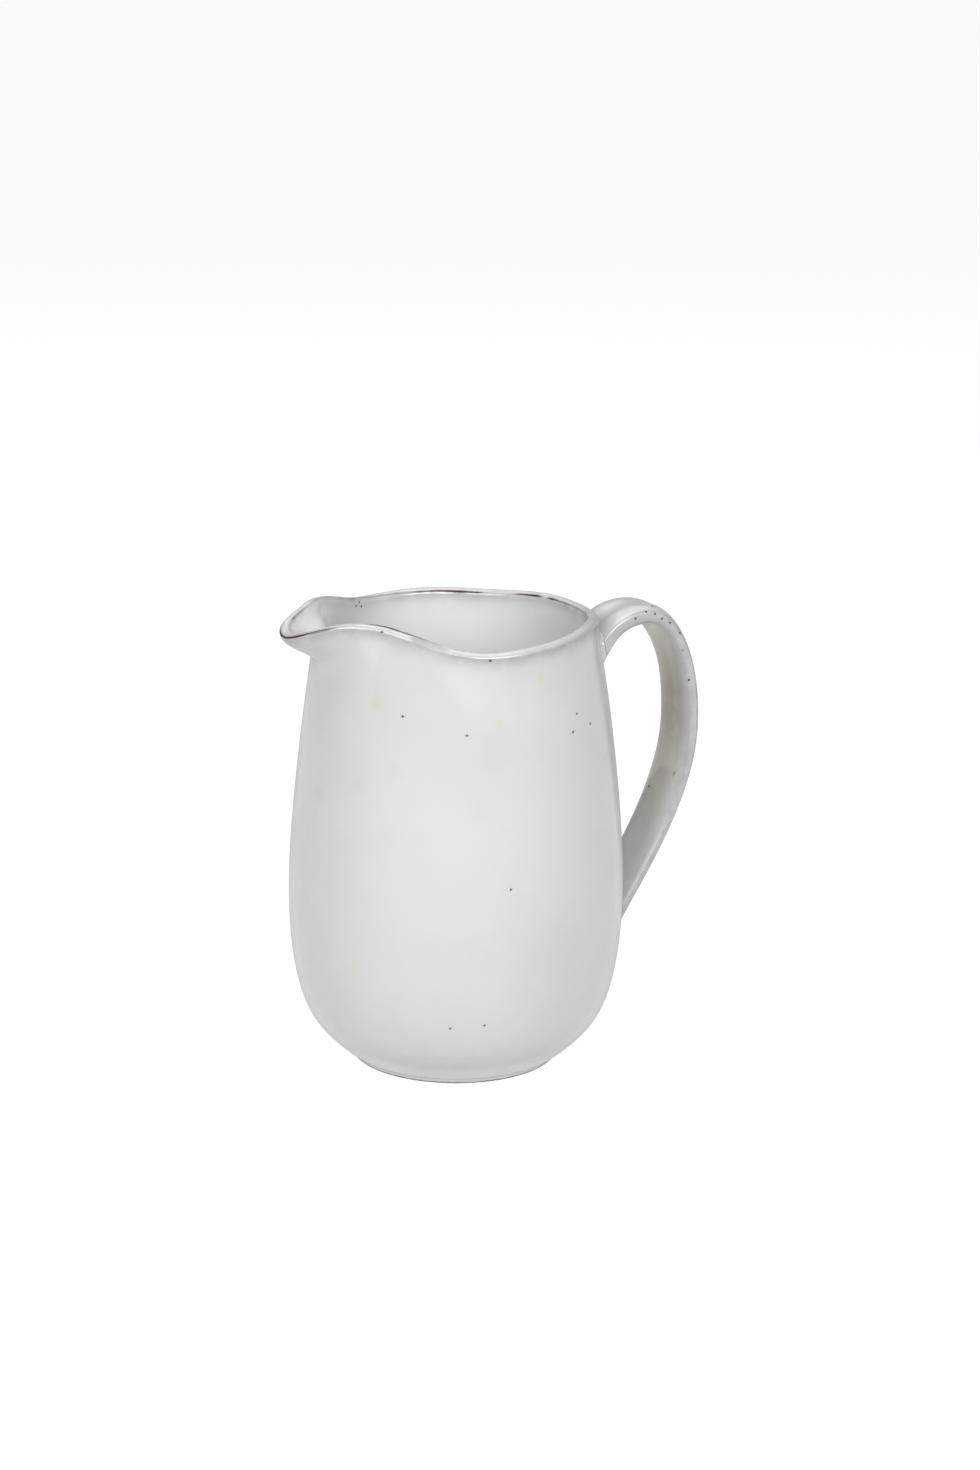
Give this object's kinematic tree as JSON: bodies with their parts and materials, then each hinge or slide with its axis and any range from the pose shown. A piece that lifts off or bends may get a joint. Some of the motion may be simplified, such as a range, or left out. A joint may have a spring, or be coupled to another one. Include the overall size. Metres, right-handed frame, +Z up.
{
  "type": "ceramic pitcher",
  "caption": "Glazed stoneware table pitcher: round belly, pulled spout in a wavy rim, low foot ring and a strap handle opposite the spout.",
  "frame": {"origin": "on the axis of the body, at the level of the surface that the foot ring stands on", "axes": "+Z up along the axis of the body, +X towards the handle, the spout towards -X"},
  "size_m": [0.1614, 0.121, 0.1683],
  "materials": {
    "glaze": "glossy off-white glaze that breaks to brown on the rim, with fine iron specks",
    "bare_clay": "matt unglazed red-brown stoneware"
  },
  "bodies": {
    "root": {"body": "glaze", "foot_ring": "bare_clay", "handle": "glaze", "upper_luting": "glaze", "lower_luting": "glaze"}
  },
  "joints": []
}
